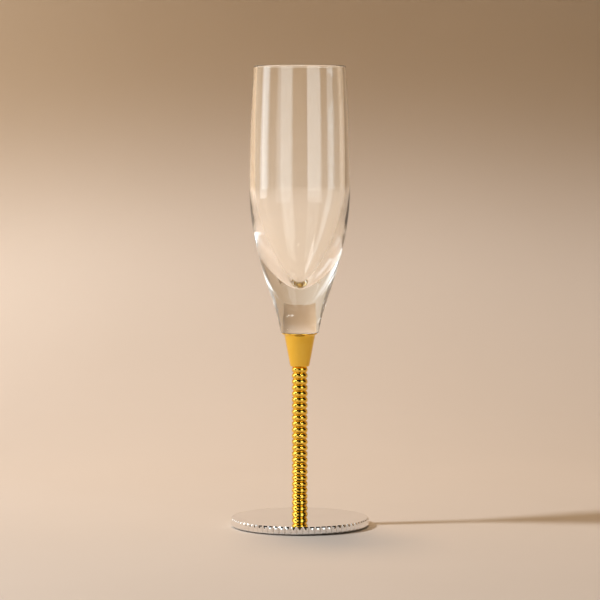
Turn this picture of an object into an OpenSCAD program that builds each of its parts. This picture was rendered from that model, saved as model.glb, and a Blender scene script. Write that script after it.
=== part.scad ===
// Champagne flute. A thick-footed glass bowl is bonded to a gilt collar, which
// stands on a stem of stacked gilt rings over a round reeded base. One threaded
// rod runs from the collar down through every ring and the base, where a nut
// draws the stack together. A soft pad closes the underside.
// The origin is on the table, under the middle of the base. +Z points up.

/* [Glass bowl] */
// Height of the glass, from the foot face to the rim
bowl_h = 134; // [100:1:170]
// Outer diameter at the rim
rim_d = 46.2; // [38:0.2:56]
// Outer diameter at the belly, where the bowl is widest
belly_d = 50.7; // [42:0.1:62]
// Height of the belly above the foot face
belly_h = 74; // [60:1:90]
// Outer diameter of the solid foot
foot_d = 19.6; // [15:0.1:26]
// Radius of the rounded edge of the foot face
foot_edge_r = 0.8; // [0.3:0.1:1.5]
// Thickness of the wall at the rim
rim_wall = 1.5; // [0.9:0.1:2.5]
// Thickness of the wall at the belly
belly_wall = 2.5; // [1.2:0.1:4]
// Thickness of the solid glass under the drinking space
floor_t = 24; // [15:0.5:35]

/* [Collar] */
// Height of the collar
collar_h = 17; // [12:0.5:25]
// Diameter of the flange that carries the glass
flange_d = 17.8; // [12:0.1:22]
// Thickness of the flange at its rim
flange_t = 0.6; // [0.4:0.1:2]
// Diameter of the cone where it meets the flange
collar_top_d = 15.3; // [12:0.1:17]
// Diameter of the cone at its lower end
collar_low_d = 9.9; // [9.6:0.1:12]
// Diameter of the open well in the middle of the glued face
well_d = 6.4; // [4:0.1:9]
// Depth of the well
well_h = 3.2; // [1:0.1:6]
// Length of rod that the collar's thread takes
thread_engagement = 9; // [5:0.5:10]
// Thickness of the clear adhesive between the collar and the glass
bond_t = 0.1; // [0.05:0.01:0.5]

/* [Stem rings] */
// Number of rings
ring_count = 25; // [12:1:30]
// Height of one ring
ring_h = 3.06; // [2:0.02:4]
// Outer diameter of a ring
ring_d = 8.1; // [6:0.1:9.4]
// Depth of the groove between two rings
groove_depth = 0.8; // [0.2:0.05:1.2]

/* [Tie rod and nut] */
// Diameter of the threaded rod
rod_d = 3; // [2:0.1:3.4]
// Gap between the rod and each piece that slides over it, all round
rod_gap = 0.1; // [0.05:0.05:0.3]
// Width of the nut across its flats
nut_flats = 5.5; // [5:0.1:7]
// Thickness of the nut
nut_t = 1.8; // [1.2:0.1:2]
// Diameter of the washer
washer_d = 7; // [6:0.1:9]
// Thickness of the washer
washer_t = 0.5; // [0.3:0.1:0.6]

/* [Base] */
// Diameter over the reeds
base_d = 70; // [55:1:90]
// Thickness of the base
base_t = 4; // [3.6:0.1:8]
// Number of reeds around the edge
reed_count = 72; // [36:1:96]
// Radius of each half-round reed
reed_r = 1.45; // [0.8:0.05:2]
// Height of the bevel on the upper ends of the reeds
reed_bevel = 0.4; // [0.2:0.1:1]
// Radius of the rounding on the lower ends of the reeds
reed_foot_r = 1.4; // [0.4:0.1:1.6]
// Diameter of the pocket for the nut and washer
pocket_d = 9.6; // [9.4:0.1:14]

/* [Pad] */
// Diameter of the pad
pad_d = 62; // [40:1:62]
// Thickness of the pad
pad_t = 0.9; // [0.6:0.1:1.2]
// How far the pad stands below the base
pad_proud = 0.4; // [0.2:0.1:0.5]
// Gap around the pad in its recess
pad_gap = 0.2; // [0.1:0.1:0.5]

/* [Hidden] */
$fn = 96;
// Straight steps in each curved stretch of the bowl's outline
outline_steps = 28;
// Steps around the rounded rim and the rounded foot edge
edge_steps = 6;
// Clearance above and below the nut, to the pad
nut_lift = 0.1;
// Length by which a cut runs past the face it opens
cut_over = 1;
// Bevel on the ends of the rod
rod_bevel = 0.3;
// Radius of the fillet under the collar's flange
flange_fillet = (flange_d - collar_top_d) / 2;
// Radius of the rounding that brings the collar in to the first ring
collar_round = (collar_low_d - ring_d) / 2;

base_z = pad_proud;
base_top = base_z + base_t;
recess_top = base_z - pad_proud + pad_t;
nut_z = recess_top + nut_lift;
washer_z = nut_z + nut_t;
pocket_top = washer_z + washer_t;
stack_z = base_top;
collar_z = stack_z + ring_count * ring_h;
collar_top = collar_z + collar_h;
bowl_z = collar_top + bond_t;
rod_top = collar_z + thread_engagement;

rod_r = rod_d / 2;
slide_r = rod_r + rod_gap;
ring_r = ring_d / 2;
ring_face_r = ring_r - groove_depth;
// Radius of the arc whose chord is the ring's height and whose rise is the groove
ring_arc_r = (pow(ring_h / 2, 2) + pow(groove_depth, 2)) / (2 * groove_depth);
reed_centre_r = base_d / 2 - reed_r;

// Handles of the curves that draw the bowl's outline, as lengths along the glass
belly_handle_up = 31;
rim_handle = 5;
rim_lean = 0.05;
belly_handle_down = 35;
foot_handle = 15;
foot_lean = 0.12;
cavity_belly_handle = 20;
cavity_floor_handle = 8;

function ring_name(i) = str("stem_ring_", i < 10 ? "0" : "", i);

// Point at share t of the cubic curve from a to d with handles b and c
function cubic(a, b, c, d, t) =
    pow(1 - t, 3) * a + 3 * t * pow(1 - t, 2) * b + 3 * t * t * (1 - t) * c + pow(t, 3) * d;
// Points along that curve, without its last one
function curve(a, b, c, d, n = outline_steps) = [for (i = [0:n - 1]) cubic(a, b, c, d, i / n)];
// Point on a circle about a centre
function on_circle(centre, r, angle) = centre + r * [cos(angle), sin(angle)];
// Points along an arc of that circle, without its last one
function arc(centre, r, from, to, n = edge_steps) =
    [for (i = [0:n - 1]) on_circle(centre, r, from + (to - from) * i / n)];

// Outline of the glass to the right of its axis, with the foot face at height 0
function bowl_outline() =
    let (
        foot_r = foot_d / 2,
        belly = [belly_d / 2, belly_h],
        lip_r = rim_wall / 2,
        lip = [rim_d / 2 - lip_r, bowl_h - lip_r],
        rim_out = lip + [lip_r, 0],
        rim_in = lip - [lip_r, 0],
        belly_in = [belly_d / 2 - belly_wall, belly_h],
        foot_out = [foot_r, foot_edge_r]
    )
    concat(
        [[0, 0]],
        arc([foot_r - foot_edge_r, foot_edge_r], foot_edge_r, -90, 0),
        curve(foot_out, foot_out + foot_handle * [foot_lean, 1], belly - [0, belly_handle_down], belly),
        curve(belly, belly + [0, belly_handle_up], rim_out + rim_handle * [rim_lean, -1], rim_out),
        arc(lip, lip_r, 0, 180),
        curve(rim_in, rim_in + rim_handle * [rim_lean, -1], belly_in + [0, belly_handle_up], belly_in),
        curve(belly_in, belly_in - [0, cavity_belly_handle], [cavity_floor_handle, floor_t], [0, floor_t]),
        [[0, floor_t]]
    );

module bowl() {
    color([0.93, 0.95, 0.94, 0.4])
        translate([0, 0, bowl_z])
            rotate_extrude()
                polygon(bowl_outline());
}

// The adhesive is a thin ring between the flange and the foot face, open over the well
module bond_film() {
    bond_r = min(flange_d / 2, foot_d / 2 - foot_edge_r);
    color([0.9, 0.92, 0.9, 0.6])
        translate([0, 0, collar_top])
            difference() {
                cylinder(h = bond_t, r = bond_r);
                translate([0, 0, -cut_over])
                    cylinder(h = bond_t + 2 * cut_over, d = well_d);
            }
}

// Half outline of the collar: rounded lower end, cone, fillet under the flange, flange
module collar_outline() {
    flange_r = flange_d / 2;
    cone_top_z = collar_h - flange_t - flange_fillet;
    fillet_centre = [collar_top_d / 2 + flange_fillet, cone_top_z];
    polygon(concat(
        [[0, 0]],
        arc([ring_r, collar_round], collar_round, -90, 0),
        [[collar_low_d / 2, collar_round]],
        arc(fillet_centre, flange_fillet, 180, 90),
        [[flange_r, collar_h - flange_t], [flange_r, collar_h], [0, collar_h]]
    ));
}

module collar() {
    color([0.87, 0.65, 0.2])
        translate([0, 0, collar_z])
            difference() {
                rotate_extrude()
                    collar_outline();
                translate([0, 0, -cut_over])
                    cylinder(h = collar_h + cut_over, r = rod_r);
                translate([0, 0, collar_h - well_h])
                    cylinder(h = well_h + cut_over, d = well_d);
            }
}

module tie_rod() {
    color([0.6, 0.61, 0.62])
        translate([0, 0, nut_z])
            rotate_extrude()
                polygon([
                    [0, 0],
                    [rod_r - rod_bevel, 0],
                    [rod_r, rod_bevel],
                    [rod_r, rod_top - nut_z - rod_bevel],
                    [rod_r - rod_bevel, rod_top - nut_z],
                    [0, rod_top - nut_z]
                ]);
}

// A ring is bored for the rod and crowned outside, with flat faces that meet
// the rings above and below it
module stem_ring(i) {
    color([0.85, 0.6, 0.15])
        translate([0, 0, stack_z + (i - 0.5) * ring_h])
            rotate_extrude()
                difference() {
                    intersection() {
                        translate([0, -ring_h / 2])
                            square([ring_r, ring_h]);
                        translate([ring_r - ring_arc_r, 0])
                            circle(r = ring_arc_r);
                    }
                    translate([0, -ring_h])
                        square([slide_r, 2 * ring_h]);
                }
}

// Plan of the base: a disc with half-round reeds all round
module reeded_plan() {
    circle(r = reed_centre_r);
    for (k = [0:reed_count - 1])
        rotate(k * 360 / reed_count)
            translate([reed_centre_r, 0])
                circle(r = reed_r);
}

// Half outline that the reeds are trimmed to: rounded below, bevelled above
module base_outline() {
    outer_r = base_d / 2;
    polygon(concat(
        [[0, 0]],
        arc([outer_r - reed_foot_r, reed_foot_r], reed_foot_r, -90, 0),
        [
            [outer_r, reed_foot_r],
            [outer_r, base_t - reed_bevel],
            [outer_r - reed_bevel, base_t],
            [0, base_t]
        ]
    ));
}

module base() {
    recess_h = recess_top - base_z;
    color([0.86, 0.85, 0.83])
        translate([0, 0, base_z])
            difference() {
                intersection() {
                    linear_extrude(base_t)
                        reeded_plan();
                    rotate_extrude()
                        base_outline();
                }
                translate([0, 0, -cut_over])
                    cylinder(h = recess_h + cut_over, d = pad_d + 2 * pad_gap);
                translate([0, 0, -cut_over])
                    cylinder(h = pocket_top - base_z + cut_over, d = pocket_d);
                translate([0, 0, -cut_over])
                    cylinder(h = base_t + 2 * cut_over, r = slide_r);
            }
}

module washer() {
    color([0.7, 0.7, 0.7])
        translate([0, 0, washer_z])
            difference() {
                cylinder(h = washer_t, d = washer_d);
                translate([0, 0, -cut_over])
                    cylinder(h = washer_t + 2 * cut_over, r = slide_r);
            }
}

module clamp_nut() {
    color([0.66, 0.66, 0.67])
        translate([0, 0, nut_z])
            difference() {
                cylinder(h = nut_t, d = nut_flats / cos(30), $fn = 6);
                translate([0, 0, -cut_over])
                    cylinder(h = nut_t + 2 * cut_over, r = rod_r);
            }
}

module base_pad() {
    color([0.16, 0.15, 0.14])
        cylinder(h = pad_t, d = pad_d);
}

bowl();
bond_film();
collar();
tie_rod();
for (i = [1:ring_count])
    stem_ring(i);
base();
washer();
clamp_nut();
base_pad();
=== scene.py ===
"""Looks of the champagne flute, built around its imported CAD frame. All lengths are in metres."""

import math

import bpy
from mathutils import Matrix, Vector


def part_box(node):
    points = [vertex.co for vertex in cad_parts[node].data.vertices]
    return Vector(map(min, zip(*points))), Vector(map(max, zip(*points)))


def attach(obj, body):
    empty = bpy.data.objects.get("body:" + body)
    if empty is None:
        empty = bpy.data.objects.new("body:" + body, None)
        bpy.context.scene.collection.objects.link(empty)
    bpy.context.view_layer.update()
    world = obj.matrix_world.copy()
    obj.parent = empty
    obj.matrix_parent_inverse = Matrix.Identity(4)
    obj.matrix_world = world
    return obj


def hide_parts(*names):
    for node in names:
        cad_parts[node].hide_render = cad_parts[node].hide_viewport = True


MM = 0.001

# ---------------------------------------------------------------- camera

CAMERA_ASIDE = 0.00015
CAMERA_DISTANCE = 1.350
CAMERA_HEIGHT = 0.2014
CAMERA_PITCH = math.radians(3.683)
LENS_MM = 161.16
SENSOR_MM = 36.0


def make_camera():
    """A long lens, level with the upper bowl and pitched a little down."""
    data = bpy.data.cameras.new("camera")
    data.lens = LENS_MM
    data.sensor_width = SENSOR_MM
    data.clip_start = 0.05
    data.clip_end = 20
    camera = bpy.data.objects.new("camera", data)
    camera.location = (CAMERA_ASIDE, -CAMERA_DISTANCE, CAMERA_HEIGHT)
    camera.rotation_euler = (math.pi / 2 - CAMERA_PITCH, 0, 0)
    bpy.context.scene.collection.objects.link(camera)
    bpy.context.scene.camera = camera


make_camera()
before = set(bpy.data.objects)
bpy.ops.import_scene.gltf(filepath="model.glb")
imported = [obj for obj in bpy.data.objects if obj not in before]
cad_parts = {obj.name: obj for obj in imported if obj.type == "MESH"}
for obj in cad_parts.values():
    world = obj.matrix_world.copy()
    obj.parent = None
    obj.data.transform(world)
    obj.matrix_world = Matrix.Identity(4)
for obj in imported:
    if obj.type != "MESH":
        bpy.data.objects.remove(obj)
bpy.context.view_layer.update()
ROOT = "root"

# ---------------------------------------------------------------- mesh helpers


def make_mesh(name, vertices, faces, sharp_degrees):
    mesh = bpy.data.meshes.new(name)
    mesh.from_pydata(vertices, [], faces)
    mesh.validate()
    mesh.shade_smooth()
    mesh.set_sharp_from_angle(angle=math.radians(sharp_degrees))
    mesh.update()
    return mesh


def add_piece(name, mesh, material, node):
    """Put a finished mesh in the scene in place of a CAD node, riding on the only body."""
    piece = bpy.data.objects.new(name, mesh)
    bpy.context.scene.collection.objects.link(piece)
    piece.data.materials.append(material)
    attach(piece, ROOT)
    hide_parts(node)
    return piece


def band(low, high, segments):
    """Faces between two rings of vertices, either of which may be a single pole."""
    faces = []
    for k in range(segments):
        n = (k + 1) % segments
        if len(low) == 1:
            faces.append((low[0], high[n], high[k]))
        elif len(high) == 1:
            faces.append((low[k], low[n], high[0]))
        else:
            faces.append((low[k], low[n], high[n], high[k]))
    return faces


def ring_indices(count, segments, first=0):
    """Indices of vertices that were laid down ring after ring."""
    return [list(range(first + i * segments, first + (i + 1) * segments)) for i in range(count)]


def skin(rings, segments, closed=False):
    """Faces over a stack of rings, which may close on itself."""
    faces = []
    for low, high in zip(rings, rings[1:] + (rings[:1] if closed else [])):
        faces += band(low, high, segments)
    return faces


def turned(name, outline, segments, sharp_degrees=40, closed=False):
    """Mesh of an outline of (r, z) points turned about Z, drawn with the solid on its left going up."""
    vertices, rings = [], []
    for r, z in outline:
        first = len(vertices)
        count = 1 if r == 0 else segments
        rings.append(list(range(first, first + count)))
        for k in range(count):
            a = 2 * math.pi * k / segments
            vertices.append((r * math.cos(a), r * math.sin(a), z))
    return make_mesh(name, vertices, skin(rings, segments, closed), sharp_degrees)


def cubic(a, b, c, d, steps):
    """Points of a cubic curve from a to d with handles b and c, without its last one."""
    points = []
    for i in range(steps):
        t = i / steps
        weights = ((1 - t) ** 3, 3 * t * (1 - t) ** 2, 3 * t * t * (1 - t), t ** 3)
        points.append(tuple(sum(w * p[j] for w, p in zip(weights, (a, b, c, d))) for j in (0, 1)))
    return points


def arc(centre, radius, start, end, steps):
    """Points along an arc, angles in degrees, without its last one."""
    points = []
    for i in range(steps):
        a = math.radians(start + (end - start) * i / steps)
        points.append((centre[0] + radius * math.cos(a), centre[1] + radius * math.sin(a)))
    return points


# ---------------------------------------------------------------- materials


class Shader:
    """A Principled material with short ways to add procedural detail in the object's own space."""

    def __init__(self, name, **inputs):
        self.material = bpy.data.materials.new(name)
        self.material.use_nodes = True
        self.nodes = self.material.node_tree.nodes
        self.links = self.material.node_tree.links
        self.bsdf = self.nodes["Principled BSDF"]
        self.coords = self.nodes.new("ShaderNodeTexCoord").outputs["Object"]
        for key, value in inputs.items():
            self.bsdf.inputs[key.replace("_", " ")].default_value = value

    def noise(self, scale, detail=4, vector=None):
        node = self.nodes.new("ShaderNodeTexNoise")
        node.inputs["Scale"].default_value = scale
        node.inputs["Detail"].default_value = detail
        self.links.new(vector or self.coords, node.inputs["Vector"])
        return node.outputs["Fac"]

    def stretched(self, x, y, z):
        node = self.nodes.new("ShaderNodeMapping")
        node.inputs["Scale"].default_value = (x, y, z)
        self.links.new(self.coords, node.inputs["Vector"])
        return node.outputs["Vector"]

    def cells(self, scale):
        node = self.nodes.new("ShaderNodeTexVoronoi")
        node.inputs["Scale"].default_value = scale
        self.links.new(self.coords, node.inputs["Vector"])
        return node.outputs["Distance"]

    def colour(self, pattern, dark, light, start=0.3, end=0.7):
        ramp = self.nodes.new("ShaderNodeValToRGB")
        ramp.color_ramp.elements[0].position = start
        ramp.color_ramp.elements[1].position = end
        ramp.color_ramp.elements[0].color = (*dark, 1)
        ramp.color_ramp.elements[1].color = (*light, 1)
        self.links.new(pattern, ramp.inputs["Fac"])
        self.links.new(ramp.outputs["Color"], self.bsdf.inputs["Base Color"])

    def spread(self, pattern, low, high, start=0.3, end=0.7):
        """The pattern's stretch from start to end, mapped to low..high."""
        node = self.nodes.new("ShaderNodeMapRange")
        node.inputs["From Min"].default_value = start
        node.inputs["From Max"].default_value = end
        node.inputs["To Min"].default_value = low
        node.inputs["To Max"].default_value = high
        self.links.new(pattern, node.inputs["Value"])
        return node.outputs["Result"]

    def rough(self, pattern, low, high):
        self.links.new(self.spread(pattern, low, high), self.bsdf.inputs["Roughness"])

    def relief(self, pattern, height, strength=1.0):
        node = self.nodes.new("ShaderNodeBump")
        node.inputs["Distance"].default_value = height
        node.inputs["Strength"].default_value = strength
        self.links.new(pattern, node.inputs["Height"])
        self.links.new(node.outputs["Normal"], self.bsdf.inputs["Normal"])


def gold_plate():
    """Polished gilding: the tone drifts a little, with a faint haze."""
    shader = Shader("gold_plate", Metallic=1.0)
    shader.colour(shader.noise(140), (0.97, 0.61, 0.075), (1.0, 0.67, 0.11))
    shader.rough(shader.noise(420), 0.04, 0.09)
    return shader.material


SATIN_FROM = 32.9 * MM
SATIN_FULL = 33.7 * MM


def silver_plate():
    """Mirror plate on top, with the reeds a touch satin where they are handled."""
    shader = Shader("silver_plate", Metallic=1.0)
    shader.colour(shader.noise(60), (0.93, 0.915, 0.90), (0.97, 0.96, 0.95))
    length = shader.nodes.new("ShaderNodeVectorMath")
    length.operation = "LENGTH"
    flat = shader.stretched(1, 1, 0)
    shader.links.new(flat, length.inputs[0])
    satin = shader.spread(length.outputs["Value"], 0.02, 0.035, SATIN_FROM, SATIN_FULL)
    haze = shader.spread(shader.noise(300), 0.0, 0.02)
    total = shader.nodes.new("ShaderNodeMath")
    total.operation = "ADD"
    shader.links.new(satin, total.inputs[0])
    shader.links.new(haze, total.inputs[1])
    shader.links.new(total.outputs["Value"], shader.bsdf.inputs["Roughness"])
    return shader.material


def zinc_steel():
    """Zinc-plated steel: cloudy tone, satin, with fine turning marks."""
    shader = Shader("zinc_steel", Metallic=1.0)
    shader.colour(shader.noise(700), (0.42, 0.43, 0.45), (0.58, 0.58, 0.56))
    shader.rough(shader.noise(1500), 0.22, 0.40)
    shader.relief(shader.noise(1800, vector=shader.stretched(1, 1, 6)), 0.01 * MM, 0.4)
    return shader.material


def clear_glass():
    """Clear glass with a breath of colour that drifts, and a trace of haze."""
    shader = Shader("clear_glass", IOR=1.52)
    shader.bsdf.inputs["Transmission Weight"].default_value = 1.0
    shader.colour(shader.noise(30, 2), (0.975, 0.985, 0.975), (0.99, 0.995, 0.99))
    shader.rough(shader.noise(80, 2, shader.stretched(1, 1, 0.35)), 0.0, 0.003)
    return shader.material


def clear_adhesive():
    """Cured adhesive: clear, a little yellow, with faint clouding."""
    shader = Shader("clear_adhesive", IOR=1.50)
    shader.bsdf.inputs["Transmission Weight"].default_value = 1.0
    shader.colour(shader.cells(900), (0.95, 0.95, 0.92), (0.98, 0.98, 0.965), 0.0, 0.6)
    shader.rough(shader.noise(900), 0.0, 0.02)
    return shader.material


def soft_pad():
    """Dark cellular foam with a dull, pitted skin."""
    shader = Shader("soft_pad")
    shader.bsdf.inputs["Specular IOR Level"].default_value = 0.25
    shader.colour(shader.noise(900, 6), (0.016, 0.015, 0.014), (0.045, 0.042, 0.038))
    shader.rough(shader.noise(1600), 0.72, 0.92)
    shader.relief(shader.cells(1400), 0.06 * MM, 0.8)
    return shader.material


def pale_paper():
    """Warm pale studio paper with a faint mottle and tooth, seen from its front only."""
    shader = Shader("pale_paper")
    shader.bsdf.inputs["Specular IOR Level"].default_value = 0.1
    shader.colour(shader.noise(5, 3), (0.69, 0.61, 0.51), (0.71, 0.63, 0.53))
    shader.rough(shader.noise(60), 0.85, 0.95)
    shader.relief(shader.noise(900, 5), 0.02 * MM, 0.3)
    sides = shader.nodes.new("ShaderNodeMixShader")
    shader.links.new(shader.nodes.new("ShaderNodeNewGeometry").outputs["Backfacing"], sides.inputs["Fac"])
    shader.links.new(shader.bsdf.outputs["BSDF"], sides.inputs[1])
    shader.links.new(shader.nodes.new("ShaderNodeBsdfTransparent").outputs["BSDF"], sides.inputs[2])
    shader.links.new(sides.outputs["Shader"], shader.nodes["Material Output"].inputs["Surface"])
    return shader.material


GOLD = gold_plate()
SILVER = silver_plate()
STEEL = zinc_steel()
GLASS = clear_glass()
ADHESIVE = clear_adhesive()
PAD = soft_pad()
PAPER = pale_paper()

# ---------------------------------------------------------------- glass bowl

BOWL_LOW, BOWL_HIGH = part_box("bowl")
BELLY_R = BOWL_HIGH.x
BOWL_H = BOWL_HIGH.z - BOWL_LOW.z
BELLY_H = 74 * MM
RIM_R = 23.1 * MM
FOOT_R = 9.8 * MM
FOOT_EDGE = 0.8 * MM
RIM_WALL = 1.5 * MM
BELLY_WALL = 2.5 * MM
FLOOR_T = 24 * MM
CAVITY_BELLY_HANDLE = 20 * MM
CAVITY_FLOOR_HANDLE = 8 * MM


def bowl_outline(steps=60, edge_steps=12):
    """Half outline of the glass, up the outside, over the rim and down the inside."""
    belly_up, belly_down, rim_handle, foot_handle = 31 * MM, 35 * MM, 5 * MM, 15 * MM
    rim_lean, foot_lean = 0.05, 0.12
    lip_r = RIM_WALL / 2
    lip = (RIM_R - lip_r, BOWL_H - lip_r)
    belly = (BELLY_R, BELLY_H)
    belly_in = (BELLY_R - BELLY_WALL, BELLY_H)
    rim_out = (RIM_R, lip[1])
    rim_in = (RIM_R - RIM_WALL, lip[1])
    foot_out = (FOOT_R, FOOT_EDGE)
    return (
        [(0, 0)]
        + arc((FOOT_R - FOOT_EDGE, FOOT_EDGE), FOOT_EDGE, -90, 0, edge_steps)
        + cubic(foot_out, (FOOT_R + foot_handle * foot_lean, FOOT_EDGE + foot_handle),
                (BELLY_R, BELLY_H - belly_down), belly, steps)
        + cubic(belly, (BELLY_R, BELLY_H + belly_up),
                (RIM_R + rim_handle * rim_lean, lip[1] - rim_handle), rim_out, steps)
        + arc(lip, lip_r, 0, 180, edge_steps)
        + cubic(rim_in, (rim_in[0] + rim_handle * rim_lean, lip[1] - rim_handle),
                (belly_in[0], BELLY_H + belly_up), belly_in, steps)
        + cubic(belly_in, (belly_in[0], BELLY_H - CAVITY_BELLY_HANDLE),
                (CAVITY_FLOOR_HANDLE, FLOOR_T), (0, FLOOR_T), steps)
        + [(0, FLOOR_T)]
    )


def make_bowl():
    outline = [(r, BOWL_LOW.z + h) for r, h in bowl_outline()]
    add_piece("bowl_glass", turned("bowl_glass", outline, 256, sharp_degrees=60), GLASS, "bowl")


# ---------------------------------------------------------------- collar and adhesive

RING_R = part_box("stem_ring_01")[1].x
SLIDE_R = 1.6 * MM

COLLAR_LOW, COLLAR_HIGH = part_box("collar")
FLANGE_R = COLLAR_HIGH.x
FLANGE_T = 0.6 * MM
CONE_TOP_R = 7.65 * MM
CONE_LOW_R = 4.95 * MM
WELL_R = 3.2 * MM
WELL_H = 3.2 * MM
ROD_R = 1.5 * MM
SOFT_EDGE = 0.12 * MM
OPTICAL_LAP = 0.01 * MM


def make_collar():
    """Rounded lower end, cone, fillet, thin flange; open well on top; bored for the rod."""
    low, top = COLLAR_LOW.z, COLLAR_HIGH.z
    fillet = FLANGE_R - CONE_TOP_R
    turn_in = CONE_LOW_R - RING_R
    outline = (
        [(ROD_R, low)]
        + arc((RING_R, low + turn_in), turn_in, -90, 0, 14)
        + [(CONE_LOW_R, low + turn_in)]
        + arc((FLANGE_R, top - FLANGE_T - fillet), fillet, 180, 90, 18)
        + arc((FLANGE_R - SOFT_EDGE, top - FLANGE_T + SOFT_EDGE), SOFT_EDGE, -90, 0, 5)
        + arc((FLANGE_R - SOFT_EDGE, top - SOFT_EDGE), SOFT_EDGE, 0, 90, 5)
        + [(FLANGE_R - SOFT_EDGE, top)]
        + [(WELL_R, top), (WELL_R, top - WELL_H), (ROD_R, top - WELL_H)]
    )
    mesh = turned("collar_gilt", outline, 192, closed=True)
    add_piece("collar_gilt", mesh, GOLD, "collar")


def make_bond():
    """The film laps a hair into the glass and the metal, so that light passes as through cured adhesive."""
    low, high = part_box("bond_film")
    outline = [
        (WELL_R, low.z - OPTICAL_LAP),
        (high.x, low.z - OPTICAL_LAP),
        (high.x, high.z + OPTICAL_LAP),
        (WELL_R, high.z + OPTICAL_LAP),
    ]
    mesh = turned("bond_film_clear", outline, 192, closed=True)
    add_piece("bond_film_clear", mesh, ADHESIVE, "bond_film")


# ---------------------------------------------------------------- stem

GROOVE_DEPTH = 0.8 * MM


def make_rings():
    """A bead with an arc for its outline, for every ring of the stem."""
    rings = sorted(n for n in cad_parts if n.startswith("stem_ring_"))
    for name in rings:
        low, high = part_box(name)
        half = (high.z - low.z) / 2
        middle = (high.z + low.z) / 2
        crown_r = (half ** 2 + GROOVE_DEPTH ** 2) / (2 * GROOVE_DEPTH)
        reach = math.degrees(math.asin(half / crown_r))
        outline = (
            [(SLIDE_R, -half)]
            + arc((RING_R - crown_r, 0), crown_r, -reach, reach, 20)
            + [(RING_R - GROOVE_DEPTH, half), (SLIDE_R, half)]
        )
        outline = [(r, middle + z) for r, z in outline]
        mesh = turned(name + "_gilt", outline, 96, sharp_degrees=35, closed=True)
        add_piece(name + "_gilt", mesh, GOLD, name)


# ---------------------------------------------------------------- base

BASE_LOW, BASE_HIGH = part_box("base")
BASE_R = BASE_HIGH.x
REED_COUNT = 72
REED_R = 1.45 * MM
REED_STEPS = 20
REED_LEAN = 0.16 * MM
REED_BEVEL = 0.52 * MM
REED_BEVEL_H = 0.6 * MM
REED_FOOT_ROUND = 1.4 * MM
RECESS_R = 31.2 * MM
RECESS_H = 0.5 * MM
POCKET_R = 4.8 * MM
POCKET_H = 2.9 * MM
LAND_INSET = 0.2 * MM
FOOT_STEPS = 12
SIDE_STEPS = 7


def reeded_edge():
    """Polar points (r, angle) once around the edge: a half-round for every reed, from groove to groove."""
    centre = BASE_R - REED_R
    points = []
    for reed in range(REED_COUNT):
        middle = 2 * math.pi * reed / REED_COUNT
        for i in range(REED_STEPS + 1):
            a = math.radians(-90 + 180 * i / REED_STEPS)
            x, y = centre + REED_R * math.cos(a), REED_R * math.sin(a)
            points.append((math.hypot(x, y), middle + math.atan2(y, x)))
    return points


def make_base():
    """Disc with a rounded lower edge, leaning reeds and a bevel; recess, pocket and bore underneath."""
    edge = reeded_edge()
    turns = [t for r, t in edge]
    segments = len(edge)
    low, top = BASE_LOW.z, BASE_HIGH.z
    groove = BASE_R - REED_R
    vertices = []

    def ring(radii, z):
        vertices.extend((r * math.cos(t), r * math.sin(t), z) for r, t in zip(radii, turns))

    def even(radius):
        return [radius] * segments

    def trimmed(limit):
        return [min(r, limit) for r, t in edge]

    ring(even(SLIDE_R), low + POCKET_H)
    ring(even(POCKET_R), low + POCKET_H)
    ring(even(POCKET_R), low + RECESS_H)
    ring(even(RECESS_R), low + RECESS_H)
    ring(even(RECESS_R), low)
    ring(even(groove - LAND_INSET), low)
    for i in range(FOOT_STEPS + 1):
        a = math.pi / 2 * i / FOOT_STEPS
        ring(trimmed(BASE_R - REED_FOOT_ROUND * (1 - math.sin(a))), low + REED_FOOT_ROUND * (1 - math.cos(a)))
    straight = top - REED_BEVEL_H - low - REED_FOOT_ROUND
    for i in range(1, SIDE_STEPS + 1):
        up = i / SIDE_STEPS
        ring(trimmed(BASE_R - REED_LEAN * up ** 2), low + REED_FOOT_ROUND + straight * up)
    ring(trimmed(BASE_R - REED_LEAN - REED_BEVEL), top)
    ring(even(groove - LAND_INSET), top)
    ring(even(SLIDE_R), top)
    faces = skin(ring_indices(len(vertices) // segments, segments), segments, closed=True)
    mesh = make_mesh("base_plate", vertices, faces, sharp_degrees=14)
    add_piece("base_plate", mesh, SILVER, "base")


# ---------------------------------------------------------------- rod, washer, nut and pad

THREAD_PITCH = 0.5 * MM
THREAD_DEPTH = 0.28 * MM
LOWER_TURNS = 8
ROD_BEVEL = 0.3 * MM
NUT_FLATS = 5.5 * MM
CORNER_CUT = 0.35 * MM
FACE_LAND = 0.05 * MM
COUNTERSINK = 0.2 * MM
COUNTERSINK_H = 0.25 * MM


def make_rod():
    """A plain rod with a helical thread at each end."""
    low, high = (corner.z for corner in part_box("tie_rod"))
    segments, per_pitch = 32, 8
    lower_end, upper_start = low + LOWER_TURNS * THREAD_PITCH, COLLAR_LOW.z
    levels, z = [], low
    while z < high:
        levels.append(z)
        z += THREAD_PITCH / per_pitch
        if lower_end < z < upper_start:
            levels.append(lower_end)
            z = upper_start
    levels.append(high)
    vertices = [(0, 0, low)]
    for z in levels:
        end_limit = ROD_R - max(0, ROD_BEVEL - min(z - low, high - z))
        threaded = z <= lower_end or z >= upper_start
        for k in range(segments):
            turn = k / segments
            phase = (z / THREAD_PITCH - turn) % 1
            cut = THREAD_DEPTH * abs(2 * phase - 1) if threaded else 0
            r = min(end_limit, ROD_R - cut)
            vertices.append((r * math.cos(2 * math.pi * turn), r * math.sin(2 * math.pi * turn), z))
    vertices.append((0, 0, high))
    rings = [[0]] + ring_indices(len(levels), segments, first=1) + [[len(vertices) - 1]]
    mesh = make_mesh("rod_threaded", vertices, skin(rings, segments), sharp_degrees=30)
    add_piece("rod_threaded", mesh, STEEL, "tie_rod")


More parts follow.
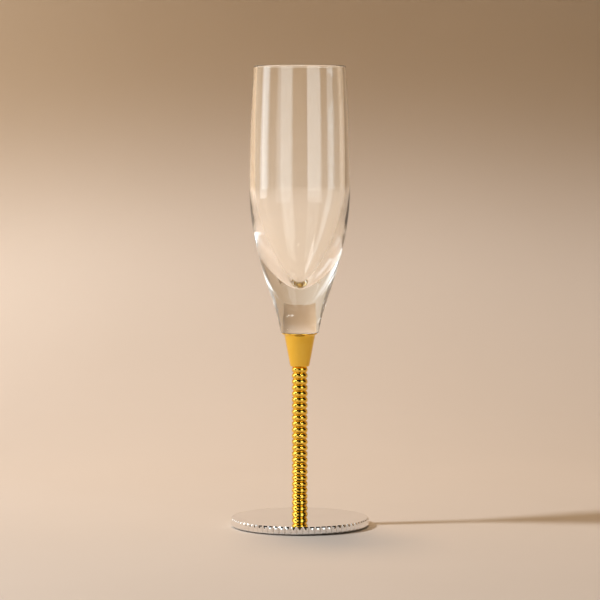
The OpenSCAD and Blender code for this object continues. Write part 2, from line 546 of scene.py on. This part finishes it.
def make_washer():
    """A flat washer with softened outer edges."""
    low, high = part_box("washer")
    edge = 0.1 * MM
    outline = [(SLIDE_R, low.z)]
    outline += arc((high.x - edge, low.z + edge), edge, -90, 0, 5)
    outline += arc((high.x - edge, high.z - edge), edge, 0, 90, 5)
    outline += [(high.x - edge, high.z), (SLIDE_R, high.z)]
    mesh = turned("washer_plain", outline, 96, closed=True)
    add_piece("washer_plain", mesh, STEEL, "washer")


def make_nut():
    """A hexagon whose corners are turned off at both ends, bored and countersunk."""
    low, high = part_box("clamp_nut")
    segments, steps = 144, 6
    turns = [2 * math.pi * k / segments for k in range(segments)]
    flat = NUT_FLATS / 2
    hexagon = [flat / math.cos((t + math.pi / 6) % (math.pi / 3) - math.pi / 6) for t in turns]
    corner = flat / math.cos(math.pi / 6)
    bore, mouth = [ROD_R] * segments, [ROD_R + COUNTERSINK] * segments

    def cut_corners(i):
        """The hexagon within a circle that grows with i, and how far from the nut's face it lies."""
        limit = flat - FACE_LAND + (corner - flat + FACE_LAND) * i / steps
        return [min(r, limit) for r in hexagon], CORNER_CUT * (i / steps) ** 1.5

    rows = [(bore, high.z - COUNTERSINK_H), (bore, low.z + COUNTERSINK_H), (mouth, low.z)]
    for i in range(steps + 1):
        radii, inward = cut_corners(i)
        rows.append((radii, low.z + inward))
    for i in range(steps, -1, -1):
        radii, inward = cut_corners(i)
        rows.append((radii, high.z - inward))
    rows.append((mouth, high.z))
    vertices = [(r * math.cos(t), r * math.sin(t), z) for radii, z in rows for r, t in zip(radii, turns)]
    faces = skin(ring_indices(len(rows), segments), segments, closed=True)
    mesh = make_mesh("nut_hex", vertices, faces, sharp_degrees=30)
    add_piece("nut_hex", mesh, STEEL, "clamp_nut")


def make_pad():
    """A plain disc of foam with rounded edges."""
    low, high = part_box("base_pad")
    edge = 0.25 * MM
    outline = [(0, low.z)]
    outline += arc((high.x - edge, low.z + edge), edge, -90, 0, 8)
    outline += arc((high.x - edge, high.z - edge), edge, 0, 90, 8)
    outline += [(high.x - edge, high.z), (0, high.z)]
    add_piece("pad_foam", turned("pad_foam", outline, 160), PAD, "base_pad")


make_bowl()
make_collar()
make_bond()
make_rings()
make_base()
make_rod()
make_washer()
make_nut()
make_pad()

# ---------------------------------------------------------------- stage and light


def add_stage(name, vertices, faces):
    piece = bpy.data.objects.new(name, make_mesh(name, vertices, faces, 60))
    bpy.context.scene.collection.objects.link(piece)
    piece.data.materials.append(PAPER)


def make_stage():
    """A wide pale floor and, over it, a paper sweep that rises behind the flute, higher at its sides."""
    half, front, back, drop = 3.5, -4.0, 3.0, -0.001
    corners = [(-half, front, drop), (half, front, drop), (half, back, drop), (-half, back, drop)]
    add_stage("floor", corners, [(0, 1, 2, 3)])
    paper_half, paper_front, bend, radius = 0.70, -0.9, 0.20, 0.60
    middle_height, side_height, rise, flattening = 0.33, 0.43, 0.72, 0.8
    columns, rows = 56, 48
    vertices = []
    for j in range(columns + 1):
        x = paper_half * (2 * j / columns - 1)
        height = min(middle_height + rise * x * x / (1 + flattening * x * x), side_height)
        reach = math.acos(1 - height / radius)
        vertices += [(x, paper_front, 0), (x, bend, 0)]
        for i in range(1, rows + 1):
            a = reach * i / rows
            vertices.append((x, bend + radius * math.sin(a), radius - radius * math.cos(a)))
    column = rows + 2
    faces = []
    for j in range(columns):
        for i in range(column - 1):
            k = j * column + i
            faces.append((k, k + column, k + column + 1, k + 1))
    add_stage("sweep", vertices, faces)


def place_light(name, data, location, target, glossy):
    light = bpy.data.objects.new(name, data)
    light.location = location
    light.rotation_euler = (Vector(target) - Vector(location)).to_track_quat("-Z", "Y").to_euler()
    light.visible_glossy = glossy
    light.visible_transmission = glossy
    light.visible_camera = False
    bpy.context.scene.collection.objects.link(light)
    return light


def math_node(tree, operation, first, second):
    """A math node on two values, each a socket or a number."""
    node = tree.nodes.new("ShaderNodeMath")
    node.operation = operation
    for socket, value in zip(node.inputs, (first, second)):
        if isinstance(value, (int, float)):
            socket.default_value = value
        else:
            tree.links.new(value, socket)
    return node.outputs["Value"]


def show_in_reflections(light):
    """Let the light show in reflections only: not on diffuse surfaces, and not straight through glass."""
    light.visible_diffuse = False
    light.data.use_nodes = True
    tree = light.data.node_tree
    path = tree.nodes.new("ShaderNodeLightPath").outputs
    reflected = math_node(tree, "GREATER_THAN", path["Glossy Depth"], 0.5)
    outside = math_node(tree, "LESS_THAN", path["Transmission Depth"], 0.5)
    tree.links.new(math_node(tree, "MAXIMUM", reflected, outside), tree.nodes["Emission"].inputs["Strength"])


def area_light(name, location, target, width, height, radiance, colour=(1, 1, 1), glossy=True, spread=180):
    data = bpy.data.lights.new(name, "AREA")
    data.shape = "RECTANGLE"
    data.size = width
    data.size_y = height
    data.energy = radiance * math.pi * width * height
    data.color = colour
    data.spread = math.radians(spread)
    return place_light(name, data, location, target, glossy)


def spot_light(name, location, target, power, degrees, blend, colour):
    """A lamp with a soft-edged beam, which shows in no reflection."""
    data = bpy.data.lights.new(name, "SPOT")
    data.energy = power
    data.spot_size = math.radians(degrees)
    data.spot_blend = blend
    data.shadow_soft_size = 0.1
    data.color = colour
    place_light(name, data, location, target, False)


LIT_SIDE = (0.74, 0.60, 0.46)
SHADE_SIDE = (0.50, 0.345, 0.215)
# How much of that light a reflection finds in front: at the horizon, higher up, and once through glass.
HORIZON_FRONT = 0.2
DARK_FRONT = 0.03
GLASS_FRONT = 0.45


def make_world():
    """A pale room, lit on the left and shaded on the right. Seen by reflection, it is dark in front."""
    world = bpy.data.worlds.new("studio")
    world.use_nodes = True
    bpy.context.scene.world = world
    world.cycles.sampling_method = "NONE"
    tree = world.node_tree
    nodes, links = tree.nodes, tree.links
    split = nodes.new("ShaderNodeSeparateXYZ")
    links.new(nodes.new("ShaderNodeTexCoord").outputs["Generated"], split.inputs["Vector"])

    def span(axis, low, high, first=0.0, last=1.0):
        node = nodes.new("ShaderNodeMapRange")
        node.interpolation_type = "SMOOTHSTEP"
        node.inputs["From Min"].default_value = low
        node.inputs["From Max"].default_value = high
        node.inputs["To Min"].default_value = first
        node.inputs["To Max"].default_value = last
        links.new(split.outputs[axis], node.inputs["Value"])
        return node.outputs["Result"]

    def ramp(factor, first, last):
        node = nodes.new("ShaderNodeValToRGB")
        node.color_ramp.elements[0].color = (*first, 1)
        node.color_ramp.elements[1].color = (*last, 1)
        links.new(factor, node.inputs["Fac"])
        return node.outputs["Color"]

    path = nodes.new("ShaderNodeLightPath").outputs
    bounces = math_node(tree, "ADD", path["Glossy Depth"], path["Diffuse Depth"])
    straight = math_node(tree, "LESS_THAN", bounces, 0.5)
    through_glass = math_node(tree, "GREATER_THAN", path["Transmission Depth"], 0.5)
    inside = math_node(tree, "MULTIPLY", through_glass, GLASS_FRONT)
    horizon = span("Z", 0.0, 0.3, HORIZON_FRONT, DARK_FRONT)
    front = math_node(tree, "MAXIMUM", horizon, inside)
    lit = math_node(tree, "MAXIMUM", span("Y", 0.0, 0.45), math_node(tree, "MAXIMUM", straight, front))

    product = nodes.new("ShaderNodeMix")
    product.data_type = "RGBA"
    product.blend_type = "MULTIPLY"
    product.inputs["Factor"].default_value = 1
    links.new(ramp(span("X", -0.6, 0.6), LIT_SIDE, SHADE_SIDE), product.inputs["A"])
    links.new(lit, product.inputs["B"])
    links.new(product.outputs["Result"], nodes["Background"].inputs["Color"])


def card(name, azimuth, distance, low, high, degrees, radiance, colour):
    """An upright glowing card. Azimuth is measured from straight behind, positive to the right."""
    a = math.radians(azimuth)
    x, y = distance * math.sin(a), distance * math.cos(a)
    middle = (low + high) / 2
    width = 2 * distance * math.tan(math.radians(degrees / 2))
    show_in_reflections(area_light(name, (x, y, middle), (0, 0, middle), width, high - low, radiance, colour))


def make_lights():
    card("left_strip", -89, 1.0, 0.08, 1.03, 22, 2.9, (0.88, 1, 1.08))
    card("left_front", -142, 1.05, 0.02, 0.42, 36, 1.35, (0.84, 0.93, 0.98))
    card("right_front", 145, 1.05, 0.02, 1.00, 34, 1.65, (0.9, 0.97, 0.98))
    card("right_side", 62, 1.3, 0.02, 0.30, 16, 0.5, (1, 0.9, 0.8))
    for name, location, width, height, radiance, colour in (
        ("left_window", (-0.96, -0.26, 0.94), 0.45, 0.50, 4.5, (0.96, 1, 1.02)),
        ("lamp", (0.15, -1.07, 1.14), 0.05, 0.05, 60, (1, 1, 1)),
    ):
        show_in_reflections(area_light(name, location, (0, 0, 0.1), width, height, radiance, colour))
    spot_light("key", (-1.25, -0.22, 1.15), (-0.27, 0.02, 0), 84, 48, 0.35, (0.96, 1.0, 1.11))
    area_light("wash", (-0.9, -0.35, 1.2), (-0.68, 0.72, 0.2), 0.2, 0.2, 9, (1, 0.84, 0.68), False, 46)
    area_light("overhead", (-0.1, 0.32, 1.4), (-0.1, 0.32, 0), 0.30, 0.30, 8.8, (1, 0.7, 0.45), False, 100)


make_stage()
make_world()
make_lights()
scene = bpy.context.scene
scene.view_settings.view_transform = "Standard"
scene.cycles.max_bounces = 24
scene.cycles.transmission_bounces = 24
scene.cycles.glossy_bounces = 12
